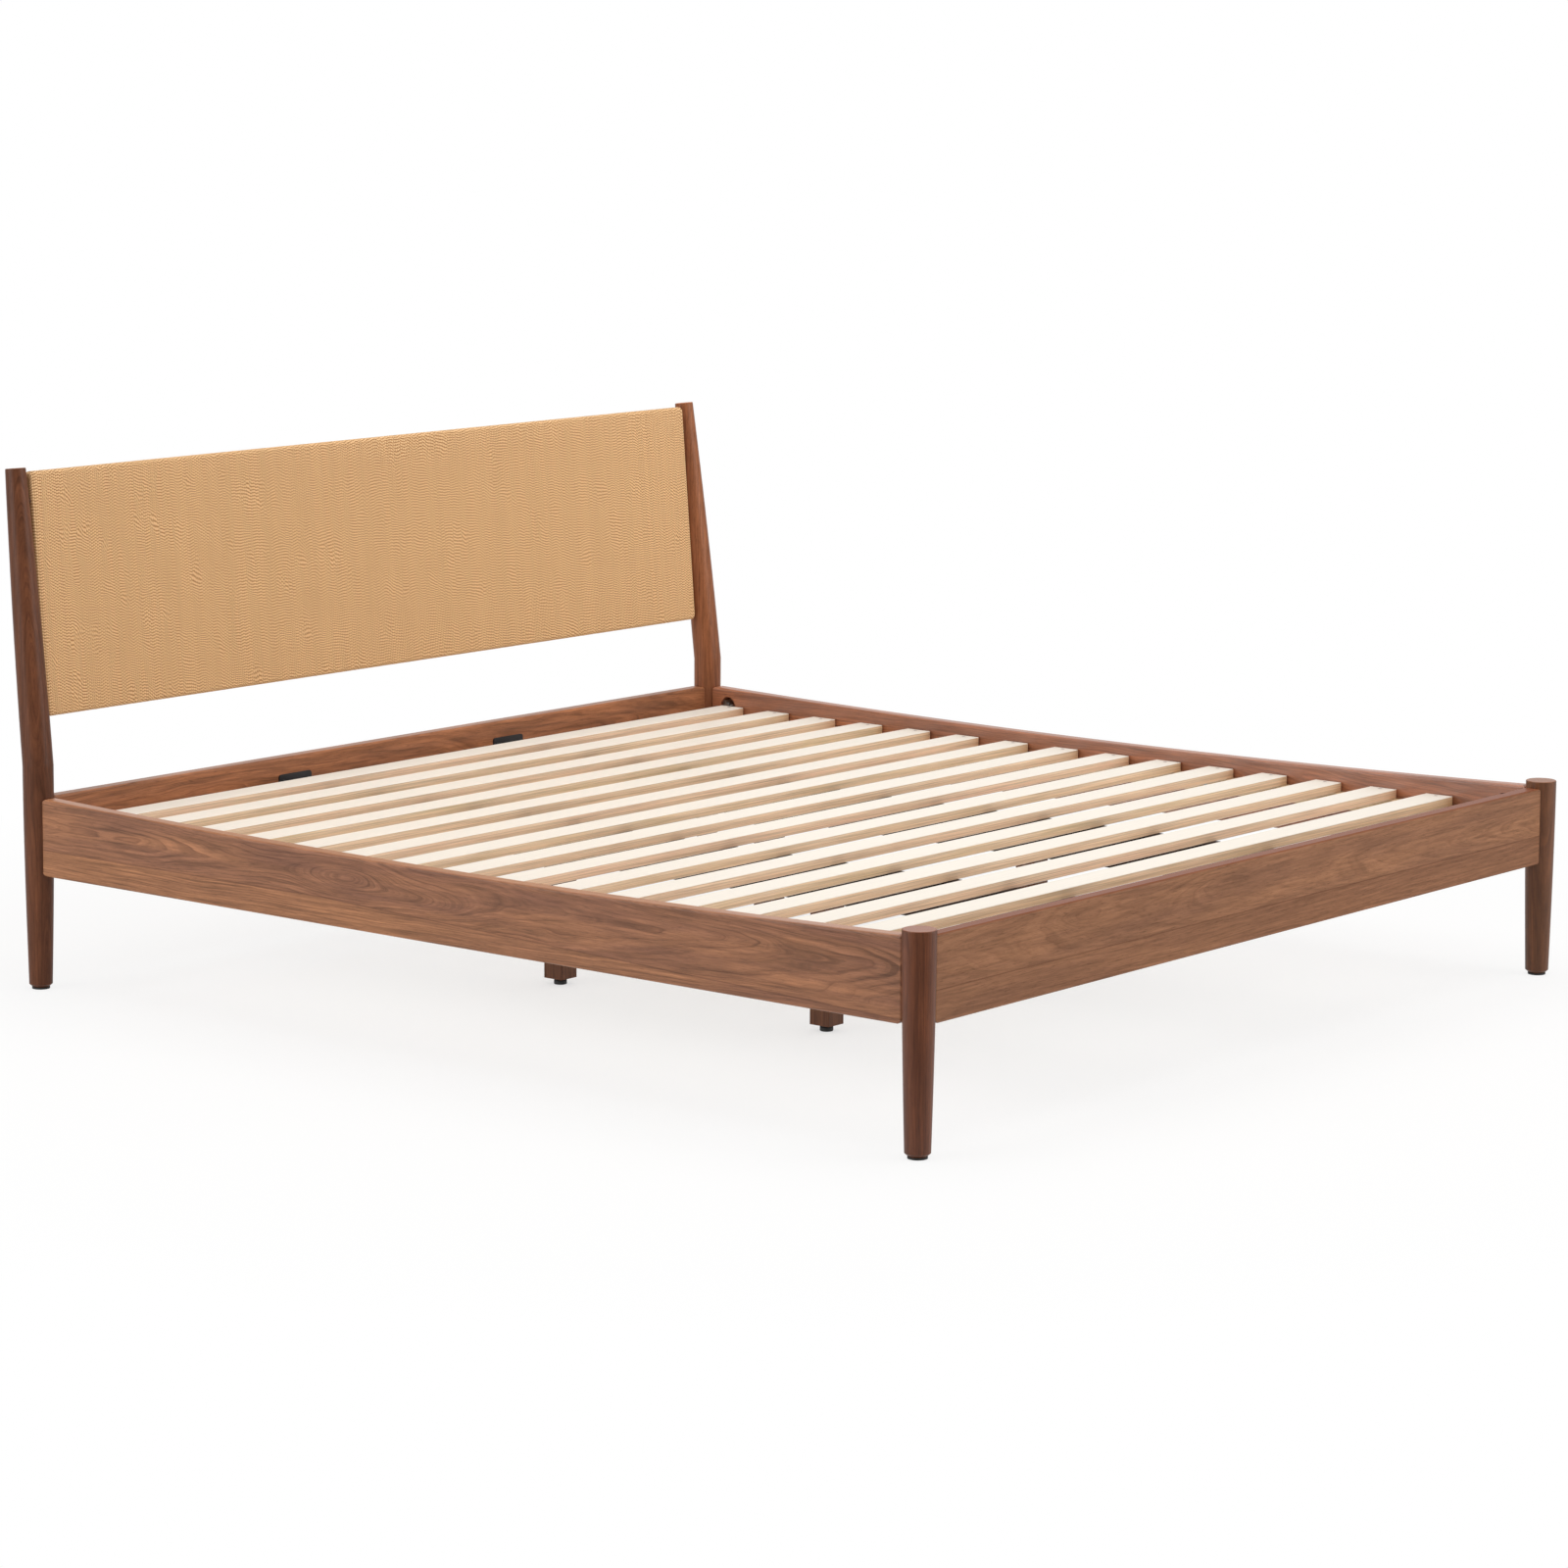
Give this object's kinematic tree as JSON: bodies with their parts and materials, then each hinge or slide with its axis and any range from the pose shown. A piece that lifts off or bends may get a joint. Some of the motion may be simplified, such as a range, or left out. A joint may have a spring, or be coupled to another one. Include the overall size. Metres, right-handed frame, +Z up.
{
  "type": "bed frame",
  "caption": "Platform bed frame with round turned legs, plank rails, a slatted base on centre beams and a leaning headboard panel of woven cord.",
  "frame": {"origin": "on the floor, in the middle of the outer box of the bed", "axes": "+Z up, +Y towards the headboard, +X to the right when looking from the foot end to the headboard"},
  "size_m": [2.0306, 2.2064, 0.989],
  "materials": {
    "walnut": "satin oiled walnut, grain along the piece",
    "walnut_dark": "satin dark walnut, turned",
    "pale_wood": "bare planed softwood",
    "cord": "woven natural cord",
    "black_steel": "black powder coat",
    "black_plastic": "black moulded plastic",
    "zinc_steel": "zinc-plated fasteners"
  },
  "bodies": {
    "bed_frame": {"head_post_left": "walnut_dark", "head_post_right": "walnut_dark", "foot_leg_left": "walnut_dark", "foot_leg_right": "walnut_dark", "side_rail_left": "walnut", "side_rail_right": "walnut", "head_rail": "walnut", "foot_rail": "walnut", "rope_weave": "cord", "headboard_top_rail": "pale_wood", "headboard_bottom_rail": "pale_wood", "headboard_stile_left": "pale_wood", "headboard_stile_right": "pale_wood", "slat_01": "pale_wood", "slat_02": "pale_wood", "slat_03": "pale_wood", "slat_04": "pale_wood", "slat_05": "pale_wood", "slat_06": "pale_wood", "slat_07": "pale_wood", "slat_08": "pale_wood", "slat_09": "pale_wood", "slat_10": "pale_wood", "slat_11": "pale_wood", "slat_12": "pale_wood", "slat_13": "pale_wood", "slat_14": "pale_wood", "slat_15": "pale_wood", "slat_16": "pale_wood", "ledger_left": "pale_wood", "ledger_right": "pale_wood", "centre_beam_left": "walnut_dark", "centre_beam_right": "walnut_dark", "beam_bracket_1": "black_steel", "beam_bracket_2": "black_steel", "beam_bracket_3": "black_steel", "beam_bracket_4": "black_steel", "support_leg_1": "walnut_dark", "support_leg_2": "walnut_dark", "support_leg_3": "walnut_dark", "support_leg_4": "walnut_dark", "leg_glide_1": "black_plastic", "leg_glide_2": "black_plastic", "leg_glide_3": "black_plastic", "leg_glide_4": "black_plastic", "rail_bolts": "zinc_steel", "rail_washers": "zinc_steel", "rail_nuts": "zinc_steel", "head_rail_dowels": "pale_wood", "foot_rail_dowels": "pale_wood", "panel_dowels": "pale_wood", "ledger_screws": "zinc_steel", "slat_screws": "zinc_steel", "bracket_screws": "black_steel", "support_leg_bolts": "zinc_steel", "leg_inserts": "zinc_steel"},
    "levelling_foot_1": {"levelling_foot_1": "black_plastic"},
    "levelling_foot_2": {"levelling_foot_2": "black_plastic"},
    "levelling_foot_3": {"levelling_foot_3": "black_plastic"},
    "levelling_foot_4": {"levelling_foot_4": "black_plastic"}
  },
  "joints": [
    {"name": "levelling_foot_1_screw", "type": "slide", "parent": "bed_frame", "child": "levelling_foot_1", "axis": [0, 0, -1], "range_m": [-0.0024, 0.012]},
    {"name": "levelling_foot_2_screw", "type": "slide", "parent": "bed_frame", "child": "levelling_foot_2", "axis": [0, 0, -1], "range_m": [-0.0024, 0.012]},
    {"name": "levelling_foot_3_screw", "type": "slide", "parent": "bed_frame", "child": "levelling_foot_3", "axis": [0, 0, -1], "range_m": [-0.0024, 0.012]},
    {"name": "levelling_foot_4_screw", "type": "slide", "parent": "bed_frame", "child": "levelling_foot_4", "axis": [0, 0, -1], "range_m": [-0.0024, 0.012]}
  ]
}
